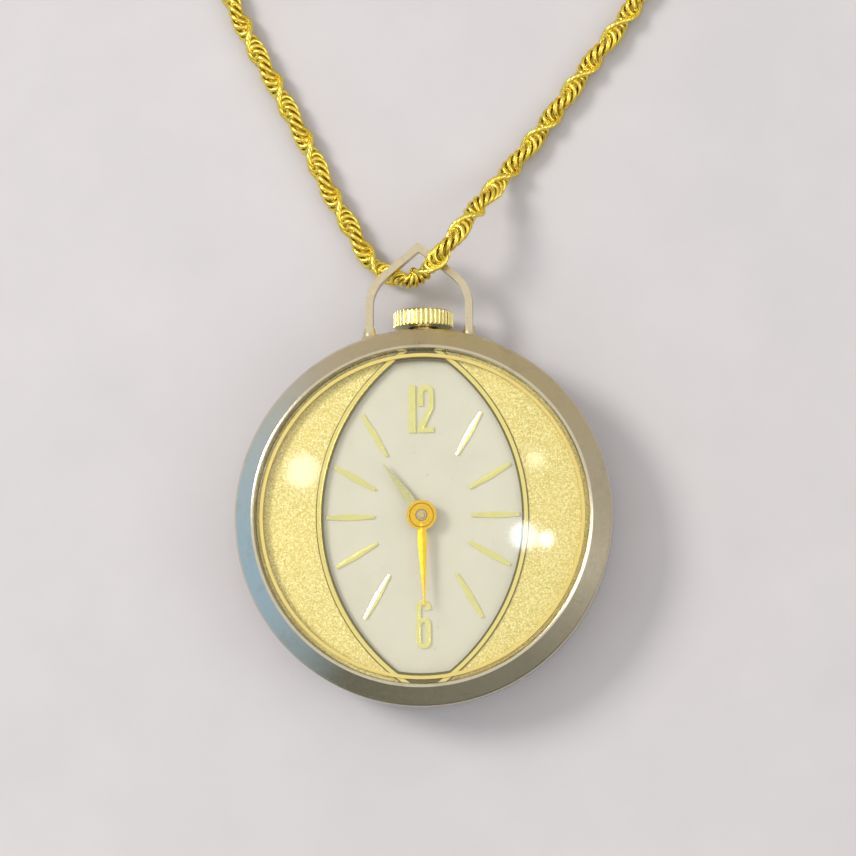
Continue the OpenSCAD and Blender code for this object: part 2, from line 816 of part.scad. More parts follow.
module regulator() {
    color(steel) translate([balance_at[0], balance_at[1], 0.6]) difference() {
        bar([0, 0], [-2.7, 0.9], 0.5, 0.13);
        translate([0, 0, -1]) cylinder(r = 0.16, h = 3);
    }
}

// ---------- plates ----------

module mainplate() {
    color(brass) difference() {
        union() {
            translate([0, 0, plate_z]) cylinder(r = movement_r, h = dial_z - plate_z, $fn = 180);
            difference() {
                translate([-2.4, 6.25, 1.95]) cube([4.8, 4.8, 1.4]);
                translate([barrel_at[0], barrel_at[1], 0]) cylinder(r = 5.35, h = 5);
            }
            for (p = bridge_feet) translate([p[0], p[1], bridge_z + bridge_t]) cylinder(r = 0.8, h = 1.5);
        }
        difference() {
            translate([0, 0, recess_z]) cylinder(r = recess_r, h = 2);
            translate([minute_wheel_at[0], minute_wheel_at[1], 0]) cylinder(r = 0.2, h = 5.38);
            translate([setting_at[0], setting_at[1], 0]) cylinder(r = 0.3, h = 5.1);
        }
        translate([barrel_at[0], barrel_at[1], 3]) cylinder(r = 5.25, h = 0.75);
        translate([barrel_at[0], barrel_at[1], 3]) cylinder(r = 0.36, h = 3);
        translate([setting_at[0], setting_at[1], 3.9]) ring(1.5, 0.3, 3);
        translate([-2.1, 6.62, 0]) cube([4.2, 2.78, 6]);
        translate([-0.45, 9.5, stem_z]) cube([0.9, 1.6, 3]);
        on_stem(5.2) cylinder(r = 0.28, h = 2);
        on_stem(9) cylinder(r = 0.54, h = 4);
        translate([0, 0, 3]) cylinder(r = 0.35, h = 3);
        for (p = [third_at, fourth_at, escape_at, pallet_at, balance_at])
            translate([p[0], p[1], 3]) cylinder(r = pivot_r + 0.04, h = 1.1);
        for (p = dial_feet_at) translate([p[0], p[1], 3]) cylinder(r = 0.33, h = 3);
        for (p = bridge_feet) translate([p[0], p[1], 1]) cylinder(r = 0.32, h = 3.3);
        translate([cock_foot[0], cock_foot[1], 3]) cylinder(r = 0.32, h = 1.2);
    }
}

module barrel_bridge() {
    color(steel) translate([0, 0, bridge_z]) difference() {
        union() {
            linear_extrude(bridge_t) intersection() {
                circle(bridge_r);
                polygon([[-13, -4.6], [-5.2, -4.4], [-1.8, 1.1], [2.3, 4.5], [3.3, 9], [2.6, 13],
                    [-13, 13]]);
            }
            translate([crown_wheel_at[0], crown_wheel_at[1], -0.32]) cylinder(r = 0.5, h = 0.5);
            translate([click_pivot[0], click_pivot[1], -0.3]) cylinder(r = 0.27, h = 0.5);
        }
        translate([barrel_at[0], barrel_at[1], -1]) cylinder(r = 0.65, h = 3);
        translate([-2.15, 8.3, -1]) cube([4.3, 1.15, 3]);
        for (p = [bridge_feet[2], bridge_feet[3]]) translate([p[0], p[1], -1]) cylinder(r = 0.33, h = 3);
    }
}

module train_bridge() {
    color(steel) translate([0, 0, bridge_z]) difference() {
        linear_extrude(bridge_t) difference() {
            intersection() {
                circle(bridge_r);
                polygon([[-1.3, 0.9], [-1.4, -1.4], [13, -4.3], [13, 8], [6, 13], [3.6, 9], [2.7, 4.4]]);
            }
            translate(balance_at) circle(balance_r + 0.35);
        }
        translate([0, 0, -1]) cylinder(r = 0.33, h = 3);
        for (p = [third_at, fourth_at, escape_at]) translate([p[0], p[1], -1]) cylinder(r = 0.52, h = 3);
        for (p = [bridge_feet[0], bridge_feet[1]]) translate([p[0], p[1], -1]) cylinder(r = 0.33, h = 3);
    }
}

module pallet_bridge() {
    foot = pallet_at + polar(2.4, lever_angle + 90);
    color(steel) difference() {
        union() {
            translate([0, 0, 2.15]) bar(pallet_at, foot, 1, 0.3);
            translate([foot[0], foot[1], 2.15]) cylinder(r = 0.5, h = plate_z - 2.15);
        }
        translate([pallet_at[0], pallet_at[1], 0]) cylinder(r = arbor_r + 0.06, h = 3);
    }
}

module balance_cock() {
    color(steel) difference() {
        union() {
            translate([0, 0, 0.81]) bar(cock_foot, balance_at, 1.6, 0.32);
            translate([cock_foot[0], cock_foot[1], 0.81]) cylinder(r = 1.3, h = plate_z - 0.81);
        }
        translate([balance_at[0], balance_at[1], 0]) cylinder(r = 0.3, h = 3);
        translate([cock_foot[0], cock_foot[1], 0]) cylinder(r = 0.33, h = 5);
    }
}

// Screw with a slotted head, its tip pointing along +Z
module screw(p, z, length) {
    translate([p[0], p[1], z]) {
        difference() {
            cylinder(r = 0.6, h = 0.28);
            translate([-1, -0.08, -0.1]) cube([2, 0.16, 0.2]);
        }
        translate([0, 0, 0.2]) cylinder(r = 0.29, h = length);
    }
}

module bridge_screws() {
    color([0.3, 0.35, 0.55]) {
        for (p = bridge_feet) screw(p, bridge_z - 0.29, 2.8);
        screw(cock_foot, 0.52, 3.1);
    }
}

// Pierced jewels of the train, set in the bridge
module bearing_jewels() {
    color(ruby) for (p = [third_at, fourth_at, escape_at])
        translate([p[0], p[1], bridge_z + 0.05]) ring(0.5, pivot_r + 0.04, 0.5);
}

// ---------- chain ----------

// Direction of a route at point i
function route_dir(r, i) = let(d = r[min(i + 1, len(r) - 1)] - r[max(i - 1, 0)]) d / norm(d);

// Eight corners of the tube's section at point i, square to the route
function route_ring(r, i) = let(
    d = route_dir(r, i),
    side = cross(d, [0, 0, 1]) / norm(cross(d, [0, 0, 1])),
    up = cross(side, d))
    [for (k = [0 : 7]) r[i] + chain_d / 2 * (cos(22.5 + 45 * k) * side + sin(22.5 + 45 * k) * up)];

// Tube of eight sides swept along a route
module route_tube(r) {
    last = len(r) - 1;
    points = [for (i = [0 : last]) each route_ring(r, i)];
    sides = [for (i = [0 : last - 1], k = [0 : 7]) each let(a = 8 * i, n = (k + 1) % 8)
        [[a + k, a + n, a + 8 + n], [a + k, a + 8 + n, a + 8 + k]]];
    caps = [[for (k = [7 : -1 : 0]) k], [for (k = [0 : 7]) 8 * last + k]];
    polyhedron(points, concat(sides, caps));
}

module chain_left() {
    color(gold) route_tube(left_route);
}

module chain_right() {
    color(gold) route_tube(right_route);
}

module chain_coil() {
    color(gold) translate([coil_at[0], coil_at[1], 0]) ring(coil_outer_r, coil_inner_r, coil_h);
}

// Ring of round wire
module wire_ring(r, wire) {
    rotate_extrude() translate([r, 0]) circle(wire);
}

// End cap on the chain's axis, behind the centre of its loop
module end_cap(heading) {
    rotate(heading) rotate([0, -90, 0]) {
        translate([0, 0, 0.5]) cylinder(r = 0.35, h = 0.8);
        translate([0, 0, 1]) cylinder(r = 1.08, h = 2.5);
    }
}

// Places a shape inside the coil, at the height of the chain's end caps
module in_coil(at, rise = 0) {
    translate([coil_at[0] + at[0], coil_at[1] + at[1], cap_z + rise]) children();
}

// End caps at the two ends of the chain, each with a loop; the left loop stands, the right one lies
module chain_end_caps() {
    color(gold) {
        in_coil(left_loop_at) {
            end_cap(left_heading);
            rotate(left_heading) rotate([90, 0, 0]) wire_ring(0.6, 0.18);
        }
        in_coil(right_loop_at) {
            end_cap(right_heading);
            wire_ring(0.62, 0.2);
        }
    }
}

module jump_ring() {
    color(gold) in_coil(jump_at, 0.15) rotate([90, 0, 0]) wire_ring(1.1, 0.22);
}

// Hollow spring ring with an open quarter, a slot for the thumb knob and a small eye
module clasp_ring() {
    color(gold) in_coil(clasp_at) {
        rotate(gate_start + gate_open) rotate_extrude(angle = 360 - gate_open)
            translate([clasp_r, 0]) difference() {
                circle(clasp_tube, $fn = 48);
                circle(0.26, $fn = 48);
                translate([0, 0.2]) square([0.2, 0.6], center = true);
            }
        translate([-clasp_r - 0.75, 0, 0]) wire_ring(0.55, 0.18);
    }
}

// Sprung gate that closes the open quarter, with its knob
module clasp_trigger() {
    overlap = 12;
    color(gold) in_coil(clasp_at) {
        rotate(gate_start - 50) rotate_extrude(angle = gate_open + 50 + overlap)
            translate([clasp_r, 0]) circle(0.22, $fn = 48);
        rotate(gate_start - 6) translate([clasp_r, 0, 0]) cylinder(r = 0.08, h = 0.62);
        rotate(gate_start - 6) translate([clasp_r, 0, 0.55]) cylinder(r = 0.22, h = 0.15);
    }
}

case_middle();
bezel();
case_back();
case_back_gasket();
crystal();
tension_ring();
dial_mask();
bail();
case_tube();
movement_ring();
dial();
hour_markers();
numeral_twelve();
numeral_six();
hour_hand();
minute_hand();
cannon_pinion();
hour_wheel();
minute_wheel();
crown();
crown_gasket();
winding_stem();
winding_pinion();
sliding_pinion();
setting_wheel();
setting_lever();
yoke();
yoke_spring();
setting_lever_spring();
crown_wheel();
ratchet_wheel();
ratchet_screw();
click();
click_spring();
barrel_arbor();
barrel_drum();
barrel_cover();
mainspring();
centre_wheel();
third_wheel();
fourth_wheel();
escape_wheel();
pallet_fork();
balance_wheel();
hairspring();
regulator();
mainplate();
barrel_bridge();
train_bridge();
pallet_bridge();
balance_cock();
bridge_screws();
bearing_jewels();
chain_left();
chain_right();
chain_coil();
chain_end_caps();
jump_ring();
clasp_ring();
clasp_trigger();
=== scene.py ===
import bpy
import json
import math
import numpy as np
from mathutils import Matrix, Vector


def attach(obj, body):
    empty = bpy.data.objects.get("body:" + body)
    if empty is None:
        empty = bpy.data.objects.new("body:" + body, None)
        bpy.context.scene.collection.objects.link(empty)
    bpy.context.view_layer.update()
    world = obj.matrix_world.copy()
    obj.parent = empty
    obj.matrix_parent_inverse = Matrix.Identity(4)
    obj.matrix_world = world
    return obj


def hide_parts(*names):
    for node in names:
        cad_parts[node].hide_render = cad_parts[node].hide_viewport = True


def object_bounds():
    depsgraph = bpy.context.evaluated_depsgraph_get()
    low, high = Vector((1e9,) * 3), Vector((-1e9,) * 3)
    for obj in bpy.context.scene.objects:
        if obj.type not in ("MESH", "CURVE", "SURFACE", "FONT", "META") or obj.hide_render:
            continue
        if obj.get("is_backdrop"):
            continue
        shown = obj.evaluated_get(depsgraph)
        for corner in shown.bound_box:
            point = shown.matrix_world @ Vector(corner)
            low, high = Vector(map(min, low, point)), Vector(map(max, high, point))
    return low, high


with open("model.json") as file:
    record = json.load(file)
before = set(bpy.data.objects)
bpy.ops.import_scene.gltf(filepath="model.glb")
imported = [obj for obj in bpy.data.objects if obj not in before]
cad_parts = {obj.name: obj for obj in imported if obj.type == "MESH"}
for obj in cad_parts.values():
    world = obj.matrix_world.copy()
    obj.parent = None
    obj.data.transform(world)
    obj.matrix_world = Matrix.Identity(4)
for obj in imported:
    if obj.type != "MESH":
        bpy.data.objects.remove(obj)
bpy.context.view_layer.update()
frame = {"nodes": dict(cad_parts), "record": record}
MM = 0.001


# ---------------------------------------------------------------- camera
VIEW_WIDTH = 77.6 * MM
VIEW_CENTRE = Vector((0.4, 8.2, 4.0)) * MM
CAMERA_DISTANCE = 0.26
CAMERA_AZIMUTH = math.radians(35)
CAMERA_ELEVATION = math.radians(81)
CAMERA_ROLL = math.radians(0.6)
SENSOR_WIDTH = 36.0


def add_camera():
    """Almost straight above the dial, a little to the lower right, with 12 o'clock up."""
    back = Vector((
        math.sin(CAMERA_AZIMUTH) * math.cos(CAMERA_ELEVATION),
        -math.cos(CAMERA_AZIMUTH) * math.cos(CAMERA_ELEVATION),
        math.sin(CAMERA_ELEVATION),
    ))
    level = Vector((0, 1, 0)).cross(back).normalized()
    right = level * math.cos(CAMERA_ROLL) - back.cross(level) * math.sin(CAMERA_ROLL)
    up = back.cross(right)
    data = bpy.data.cameras.new("camera")
    data.sensor_width = SENSOR_WIDTH
    data.lens = SENSOR_WIDTH * CAMERA_DISTANCE / VIEW_WIDTH
    data.clip_start = 0.01
    data.clip_end = 10
    camera = bpy.data.objects.new("camera", data)
    camera.matrix_world = Matrix.Translation(VIEW_CENTRE + back * CAMERA_DISTANCE) @ Matrix(
        (right, up, back)
    ).transposed().to_4x4()
    bpy.context.collection.objects.link(camera)
    bpy.context.scene.camera = camera


add_camera()
bpy.context.scene.view_settings.view_transform = "Standard"


# ---------------------------------------------------------------- node helpers
def new_material(name):
    """A material with only a Principled shader, and its node tree, shader and object coordinates."""
    material = bpy.data.materials.new(name)
    material.use_nodes = True
    tree = material.node_tree
    shader = tree.nodes["Principled BSDF"]
    place = tree.nodes.new("ShaderNodeTexCoord").outputs["Object"]
    return material, tree, shader, place


def noise(tree, place, size, detail=4.0, roughness=0.55, distortion=0.0):
    """Noise with features about size metres wide, from 0 to 1."""
    node = tree.nodes.new("ShaderNodeTexNoise")
    node.inputs["Scale"].default_value = 1 / size
    node.inputs["Detail"].default_value = detail
    node.inputs["Roughness"].default_value = roughness
    node.inputs["Distortion"].default_value = distortion
    tree.links.new(place, node.inputs["Vector"])
    return node.outputs["Fac"]


def stretched(tree, place, scale):
    """Coordinates scaled by a different factor along each axis."""
    node = tree.nodes.new("ShaderNodeMapping")
    node.inputs["Scale"].default_value = scale
    tree.links.new(place, node.inputs["Vector"])
    return node.outputs["Vector"]


def ramp(tree, value, low, high, out_low=0.0, out_high=1.0):
    """Maps value from low..high to out_low..out_high, held at the ends."""
    node = tree.nodes.new("ShaderNodeMapRange")
    node.clamp = True
    node.inputs["From Min"].default_value = low
    node.inputs["From Max"].default_value = high
    node.inputs["To Min"].default_value = out_low
    node.inputs["To Max"].default_value = out_high
    tree.links.new(value, node.inputs["Value"])
    return node.outputs["Result"]


def math_node(tree, operation, a, b=None):
    """The result of one operation on a and b, which are numbers or sockets."""
    node = tree.nodes.new("ShaderNodeMath")
    node.operation = operation
    for socket, value in zip(node.inputs, (a, b)):
        if value is None:
            continue
        if isinstance(value, (int, float)):
            socket.default_value = value
        else:
            tree.links.new(value, socket)
    return node.outputs[0]


def mix_colour(tree, factor, a, b):
    """Colour a where factor is 0 and b where it is 1; a and b are colours or sockets."""
    node = tree.nodes.new("ShaderNodeMix")
    node.data_type = "RGBA"
    tree.links.new(factor, node.inputs["Factor"])
    for socket, value in ((node.inputs[6], a), (node.inputs[7], b)):
        if isinstance(value, tuple):
            socket.default_value = (*value, 1)
        else:
            tree.links.new(value, socket)
    return node.outputs[2]


def bump(tree, shader, height, distance):
    """Relief on the shader's surface, distance metres deep where height goes from 0 to 1."""
    node = tree.nodes.new("ShaderNodeBump")
    node.inputs["Distance"].default_value = distance
    tree.links.new(height, node.inputs["Height"])
    tree.links.new(node.outputs["Normal"], shader.inputs["Normal"])


def radius_from(tree, place, centre=(0, 0)):
    """Distance from the vertical axis through centre, in metres."""
    shift = tree.nodes.new("ShaderNodeVectorMath")
    shift.operation = "SUBTRACT"
    tree.links.new(place, shift.inputs[0])
    shift.inputs[1].default_value = (*centre, 0)
    flat = tree.nodes.new("ShaderNodeVectorMath")
    flat.operation = "MULTIPLY"
    tree.links.new(shift.outputs[0], flat.inputs[0])
    flat.inputs[1].default_value = (1, 1, 0)
    length = tree.nodes.new("ShaderNodeVectorMath")
    length.operation = "LENGTH"
    tree.links.new(flat.outputs[0], length.inputs[0])
    return length.outputs["Value"]


# ---------------------------------------------------------------- materials
BLOTCH_SIZE = 2.4 * MM
GRAIN_SIZE = 0.3 * MM
SCRATCH_SIZE = 1.1 * MM
SCRATCH_STRETCH = (1, 14, 1)
SCRATCH_DEPTH = 0.4
STAIN_ROUGHNESS = 0.2


def metal(name, colour, stain, roughness, stained=0.5, bump_height=0.004):
    """Worn metal: a main colour, a stain colour in blotches, uneven gloss, fine scratches and grain."""
    material, tree, shader, place = new_material(name)
    shader.inputs["Metallic"].default_value = 1.0
    blotch = ramp(tree, noise(tree, place, BLOTCH_SIZE, 6, 0.62, 0.4), 0.52, 0.8, 0, stained)
    tree.links.new(mix_colour(tree, blotch, colour, stain), shader.inputs["Base Color"])
    fine = noise(tree, place, GRAIN_SIZE, 5, 0.7)
    gloss = math_node(tree, "ADD", ramp(tree, fine, 0.3, 0.7, -0.05, 0.06),
                      ramp(tree, blotch, 0, 1, roughness, roughness + STAIN_ROUGHNESS))
    tree.links.new(gloss, shader.inputs["Roughness"])
    scratch = noise(tree, stretched(tree, place, SCRATCH_STRETCH), SCRATCH_SIZE, 7, 0.8, 1.5)
    lines = ramp(tree, scratch, 0.58, 0.66, 0, SCRATCH_DEPTH)
    bump(tree, shader, math_node(tree, "ADD", fine, lines), bump_height * MM)
    return material


HEAD_ON_REFLECTION = 0.04
FALLOFF_POWER = 5.0


def crystal_material():
    """Thin clear acrylic: what is behind it shows, with soft reflections and hairline scratches."""
    material, tree, shader, place = new_material("acrylic")
    tree.nodes.remove(shader)
    clear = tree.nodes.new("ShaderNodeBsdfTransparent")
    clear.inputs["Color"].default_value = (0.985, 0.985, 0.975, 1)
    gloss = tree.nodes.new("ShaderNodeBsdfGlossy")
    scratch = noise(tree, stretched(tree, place, (1, 9, 1)), 1.6 * MM, 8, 0.85, 2.0)
    tree.links.new(ramp(tree, scratch, 0.45, 0.75, 0.06, 0.16), gloss.inputs["Roughness"])
    glancing = tree.nodes.new("ShaderNodeLayerWeight")
    steep = math_node(tree, "POWER", glancing.outputs["Facing"], FALLOFF_POWER)
    mix = tree.nodes.new("ShaderNodeMixShader")
    tree.links.new(ramp(tree, steep, 0, 1, HEAD_ON_REFLECTION, 1), mix.inputs[0])
    tree.links.new(clear.outputs[0], mix.inputs[1])
    tree.links.new(gloss.outputs[0], mix.inputs[2])
    tree.links.new(mix.outputs[0], tree.nodes["Material Output"].inputs["Surface"])
    return material


# The mask's opening lies between two arcs, each centred OPENING_SHIFT from the dial's middle
OPENING_SHIFT = 8.85 * MM
# Outer radii of the painted highlight on the lip and the painted shade on the ledge round the opening
LIP_OUTER = 18.35 * MM
LEDGE_OUTER = 18.0 * MM
LINE_BLUR = 0.03 * MM
MASK_SPECK = 0.12 * MM
MASK_RELIEF = 0.055 * MM


def mask_material():
    """Stippled gold plate with a polished lip between two dark lines round the opening; the lip's
    brightness is a painted highlight and the dark lines are painted shade.
    """
    material, tree, shader, place = new_material("mask_gold")
    shader.inputs["Metallic"].default_value = 1.0
    speck = noise(tree, place, MASK_SPECK, 3, 0.7)
    cloud = noise(tree, place, 3.5 * MM, 3, 0.5)
    bright = mix_colour(tree, ramp(tree, speck, 0.42, 0.60), (0.56, 0.43, 0.10), (0.85, 0.81, 0.42))
    shaded = mix_colour(tree, ramp(tree, cloud, 0.35, 0.7, 0, 0.3), bright, (0.76, 0.61, 0.19))
    far_side = math_node(tree, "MAXIMUM", radius_from(tree, place, (-OPENING_SHIFT, 0)),
                         radius_from(tree, place, (OPENING_SHIFT, 0)))
    # Painted light round the opening: painted shade in the groove, a painted highlight on the polished lip,
    # and painted shade on the ledge where the plate drops to the dial
    groove_outer = LIP_OUTER + 0.10 * MM
    groove_shade = ramp(tree, far_side, groove_outer - LINE_BLUR, groove_outer, 1, 0)
    lip_highlight = ramp(tree, far_side, LIP_OUTER - LINE_BLUR, LIP_OUTER, 1, 0)
    ledge_shade = ramp(tree, far_side, LEDGE_OUTER - LINE_BLUR, LEDGE_OUTER, 1, 0)
    groove_shaded = mix_colour(tree, groove_shade, shaded, (0.34, 0.26, 0.07))
    lip_highlighted = mix_colour(tree, lip_highlight, groove_shaded, (1.0, 0.86, 0.30))
    ledge_shaded = mix_colour(tree, ledge_shade, lip_highlighted, (0.20, 0.17, 0.06))
    tree.links.new(ledge_shaded, shader.inputs["Base Color"])
    tree.links.new(ramp(tree, groove_shade, 0, 1, 0.4, 0.2), shader.inputs["Roughness"])
    grain = math_node(tree, "MULTIPLY", speck, ramp(tree, groove_shade, 0, 1, 1, 0.05))
    bump(tree, shader, grain, MASK_RELIEF)
    return material


def dial_material():
    """Silvery cream lacquer, faintly grained, with a few specks and hairlines."""
    material, tree, shader, place = new_material("dial_silver")
    shader.inputs["Metallic"].default_value = 0.15
    cloud = noise(tree, place, 4 * MM, 4, 0.6)
    base = mix_colour(tree, ramp(tree, cloud, 0.3, 0.7), (0.68, 0.65, 0.54), (0.64, 0.61, 0.50))
    specks = ramp(tree, noise(tree, place, 0.28 * MM, 2, 0.5), 0.70, 0.78, 0, 0.7)
    tree.links.new(mix_colour(tree, specks, base, (0.37, 0.34, 0.27)), shader.inputs["Base Color"])
    grain = noise(tree, stretched(tree, place, (1, 0.12, 1)), 0.1 * MM, 3, 0.6)
    tree.links.new(ramp(tree, grain, 0.3, 0.7, 0.38, 0.5), shader.inputs["Roughness"])
    bump(tree, shader, grain, 0.004 * MM)
    return material


def jewel_material():
    """Polished red ruby with a faint change of tint."""
    material, tree, shader, place = new_material("ruby")
    tint = noise(tree, place, 0.3 * MM)
    colour = mix_colour(tree, tint, (0.50, 0.01, 0.05), (0.30, 0.0, 0.03))
    tree.links.new(colour, shader.inputs["Base Color"])
    shader.inputs["Roughness"].default_value = 0.08
    shader.inputs["Coat Weight"].default_value = 0.6
    return material


def rubber_material():
    """Matt black rubber."""
    material, tree, shader, place = new_material("seal_rubber")
    grain = noise(tree, place, 0.15 * MM)
    colour = mix_colour(tree, grain, (0.02, 0.02, 0.022), (0.05, 0.05, 0.05))
    tree.links.new(colour, shader.inputs["Base Color"])
    tree.links.new(ramp(tree, grain, 0.2, 0.8, 0.5, 0.75), shader.inputs["Roughness"])
    bump(tree, shader, grain, 0.01 * MM)
    return material


MATERIALS = {
    "case_metal": metal("case_metal", (0.60, 0.54, 0.44), (0.20, 0.18, 0.13), 0.26),
    "bezel_metal": metal("bezel_metal", (0.68, 0.61, 0.47), (0.36, 0.32, 0.22), 0.17,
                         stained=0.45, bump_height=0.0025),
    "back_steel": metal("back_steel", (0.55, 0.54, 0.52), (0.30, 0.28, 0.25), 0.22),
    "bail_metal": metal("bail_metal", (0.62, 0.53, 0.36), (0.34, 0.27, 0.16), 0.3),
    "polished_gold": metal("polished_gold", (0.86, 0.68, 0.22), (0.60, 0.45, 0.10), 0.36,
                           stained=0.4),
    "marker_gold": metal("marker_gold", (0.95, 0.90, 0.36), (0.60, 0.54, 0.14), 0.2,
                         stained=0.25),
    "hour_hand_gold": metal("hour_hand_gold", (0.70, 0.67, 0.34), (0.40, 0.36, 0.14), 0.24,
                            stained=0.3),
    "minute_hand_gold": metal("minute_hand_gold", (0.98, 0.62, 0.015), (0.60, 0.30, 0.01), 0.22,
                              stained=0.3),
    "crown_gold": metal("crown_gold", (0.78, 0.68, 0.28), (0.22, 0.16, 0.05), 0.24,
                        stained=0.6),
    "chain_gold": metal("chain_gold", (0.90, 0.70, 0.11), (0.42, 0.27, 0.03), 0.18, stained=0.35),
    # Painted shade: a darker copy of the chain gold for the tube inside the rope
    "chain_core_shade": metal("chain_core_shade", (0.36, 0.24, 0.04), (0.18, 0.11, 0.02), 0.4),
    "movement_brass": metal("movement_brass", (0.72, 0.55, 0.27), (0.45, 0.32, 0.14), 0.28),
    "movement_steel": metal("movement_steel", (0.58, 0.58, 0.60), (0.35, 0.35, 0.36), 0.22,
                            stained=0.3),
    "blued_steel": metal("blued_steel", (0.05, 0.09, 0.30), (0.10, 0.06, 0.20), 0.2),
    "seal_rubber": rubber_material(),
    "acrylic": crystal_material(),
    "mask_gold": mask_material(),
    "dial_silver": dial_material(),
    "ruby": jewel_material(),
}


# Painted shade: radii, half width and colour of dark rings on the minute hand's hub
HUB_SHADE_RINGS = (1.07 * MM, 0.5 * MM)
HUB_SHADE_RING_HALF_WIDTH = 0.065 * MM
HUB_SHADE_COLOUR = (0.34, 0.15, 0.01)


def paint_hub_ring_shade(material):
    """Two dark rings round the minute hand's axis, painted shade on its turned hub."""
    tree = material.node_tree
    colour_in = tree.nodes["Principled BSDF"].inputs["Base Color"]
    colour = colour_in.links[0].from_socket
    radius = radius_from(tree, tree.nodes.new("ShaderNodeTexCoord").outputs["Object"])
    for ring in HUB_SHADE_RINGS:
        away = math_node(tree, "ABSOLUTE", math_node(tree, "SUBTRACT", radius, ring))
        ring_shade = ramp(tree, away, HUB_SHADE_RING_HALF_WIDTH - LINE_BLUR, HUB_SHADE_RING_HALF_WIDTH, 0.7, 0)
        colour = mix_colour(tree, ring_shade, colour, HUB_SHADE_COLOUR)
    tree.links.new(colour, colour_in)


paint_hub_ring_shade(MATERIALS["minute_hand_gold"])


# ---------------------------------------------------------------- CAD nodes
ROOT = "watch"
NUMERAL_EDGE = 0.035 * MM


def paint(piece, slot):
    """Gives the piece the one material of its slot."""
    piece.data.materials.clear()
    piece.data.materials.append(MATERIALS[slot])


def soften_edges(node, width):
    """Rounds the node's sharp edges without moving its vertices in the stored mesh."""
    bevel = frame["nodes"][node].modifiers.new("edges", "BEVEL")
    bevel.width = width
    bevel.segments = 2
    bevel.limit_method = "ANGLE"


for part in frame["record"]["subparts"]:
    paint(frame["nodes"][part["node"]], part["material_slot"])
for name in ("numeral_twelve", "numeral_six"):
    soften_edges(name, NUMERAL_EDGE)


# ---------------------------------------------------------------- rope chain
BAIL_CONTACT = (-1.1, 22.1, 3.1)
COIL_AT = Vector((1.3, 70.0, 0.0))
LEFT_ROUTE = [
    BAIL_CONTACT, (-2.3, 22.4, 1.95), (-3.5, 23.0, 1.3), (-4.5, 23.7, 1.05), (-5.4, 24.8, 0.95),
    (-6.6, 27.0, 0.95), (-8.6, 30.5, 0.95), (-10.4, 34.4, 0.95), (-12.4, 38.4, 0.95), (-14.6, 42.6, 0.95),
    (-16.7, 46.6, 0.95), (-18.3, 50.6, 0.95), (-18.8, 54.8, 0.95), (-18.1, 59.0, 0.95), (-16.5, 62.8, 0.95),
    (-14.4, 66.6, 0.95),
]
RIGHT_ROUTE = [
    BAIL_CONTACT, (0.2, 22.45, 4.5), (1.2, 23.15, 5.35), (2.1, 24.1, 5.8), (3.0, 25.2, 5.8),
    (4.1, 26.8, 5.3), (5.1, 28.3, 4.2), (6.1, 29.8, 2.9), (7.2, 31.3, 1.8), (8.6, 33.2, 1.1),
    (10.4, 35.4, 0.95), (13.0, 38.8, 0.95), (15.6, 42.3, 0.95), (18.2, 45.6, 0.95), (20.6, 49.2, 0.95),
    (21.8, 53.4, 0.95), (21.7, 57.8, 1.2), (20.3, 62.0, 2.0), (17.6, 66.0, 2.7),
]
LEFT_END = [(-4.9, -5.4, 0.95), (-5.6, -4.0, 0.95), (-5.7, -2.4, 1.1), (-5.35, -1.0, 1.2)]
RIGHT_END = [(4.9, -5.4, 2.85), (5.5, -4.0, 2.5), (5.5, -2.2, 1.8), (5.1, -0.5, 1.2)]
COIL_START_RADIUS = 14.5
COIL_END_RADIUS = 7.4
COIL_TURNED = math.radians(1380)
POINTS_A_TURN = 24
RING_SPACING = 0.515 * MM
ROPE_PITCH = 6.2 * MM
RING_HALF_WIDTH = 0.735 * MM
RING_HALF_LENGTH = 0.88 * MM
RING_WIRE = 0.21 * MM
RING_LEAN = math.radians(26)
SHOWN_LENGTH = 66 * MM
SHOWN_SIDES = (28, 8)
STORED_SIDES = (14, 6)
LEAN_SPREAD = math.radians(2.5)
LEAN_SEED = 7
# The dark tube inside the rope is painted shade
SHADE_CORE_RADIUS = 0.47 * MM
SHADE_CORE_SIDES = 8
SHADE_CORE_STEP = 5
LINE_STEP = 0.1 * MM
POINTS_A_SPAN = 24


def coil_turns(side, height):
    """A flat spiral inwards: side -1 starts at the left and turns clockwise, 1 is its mirror image."""
    count = round(COIL_TURNED / math.tau * POINTS_A_TURN)
    points = []
    for i in range(count + 1):
        share = i / count
        radius = COIL_START_RADIUS + (COIL_END_RADIUS - COIL_START_RADIUS) * share
        angle = COIL_TURNED * share
        points.append((side * radius * math.cos(angle), radius * math.sin(angle), height))
    return points


def smooth_line(points):
    """Points LINE_STEP apart along a Catmull-Rom curve through points, all in metres."""
    p = np.array(points, float)
    p = np.vstack([2 * p[0] - p[1], p, 2 * p[-1] - p[-2]])
    t = np.linspace(0, 1, POINTS_A_SPAN, endpoint=False)[:, None]
    fine = [
        0.5 * (2 * b + (c - a) * t + (2 * a - 5 * b + 4 * c - d) * t ** 2
               + (3 * b - a - 3 * c + d) * t ** 3)
        for a, b, c, d in zip(p, p[1:], p[2:], p[3:])
    ]
    fine = np.vstack([*fine, p[-2:-1]])
    along = np.concatenate([[0], np.cumsum(np.linalg.norm(np.diff(fine, axis=0), axis=1))])
    even = np.arange(0, along[-1], LINE_STEP)
    return np.column_stack([np.interp(even, along, fine[:, i]) for i in range(3)])


def half_line(route, side, height, end):
    """Centreline of one half of the chain, from the bail to its end cap."""
    stored = [np.array(p) + np.array(COIL_AT) for p in coil_turns(side, height) + end]
    return smooth_line([np.array(p) * MM for p in [*route, *stored]])


def turning_frames(line):
    """Tangent and two crosswise directions at each point, turned as little as possible."""
    tangent = np.gradient(line, axis=0)
    tangent /= np.linalg.norm(tangent, axis=1)[:, None]
    across = np.zeros_like(line)
    side = np.cross(tangent[0], (0, 0, 1))
    for i, t in enumerate(tangent):
        side = side - t * (side @ t)
        side /= np.linalg.norm(side)
        across[i] = side
    return tangent, across, np.cross(tangent, across)


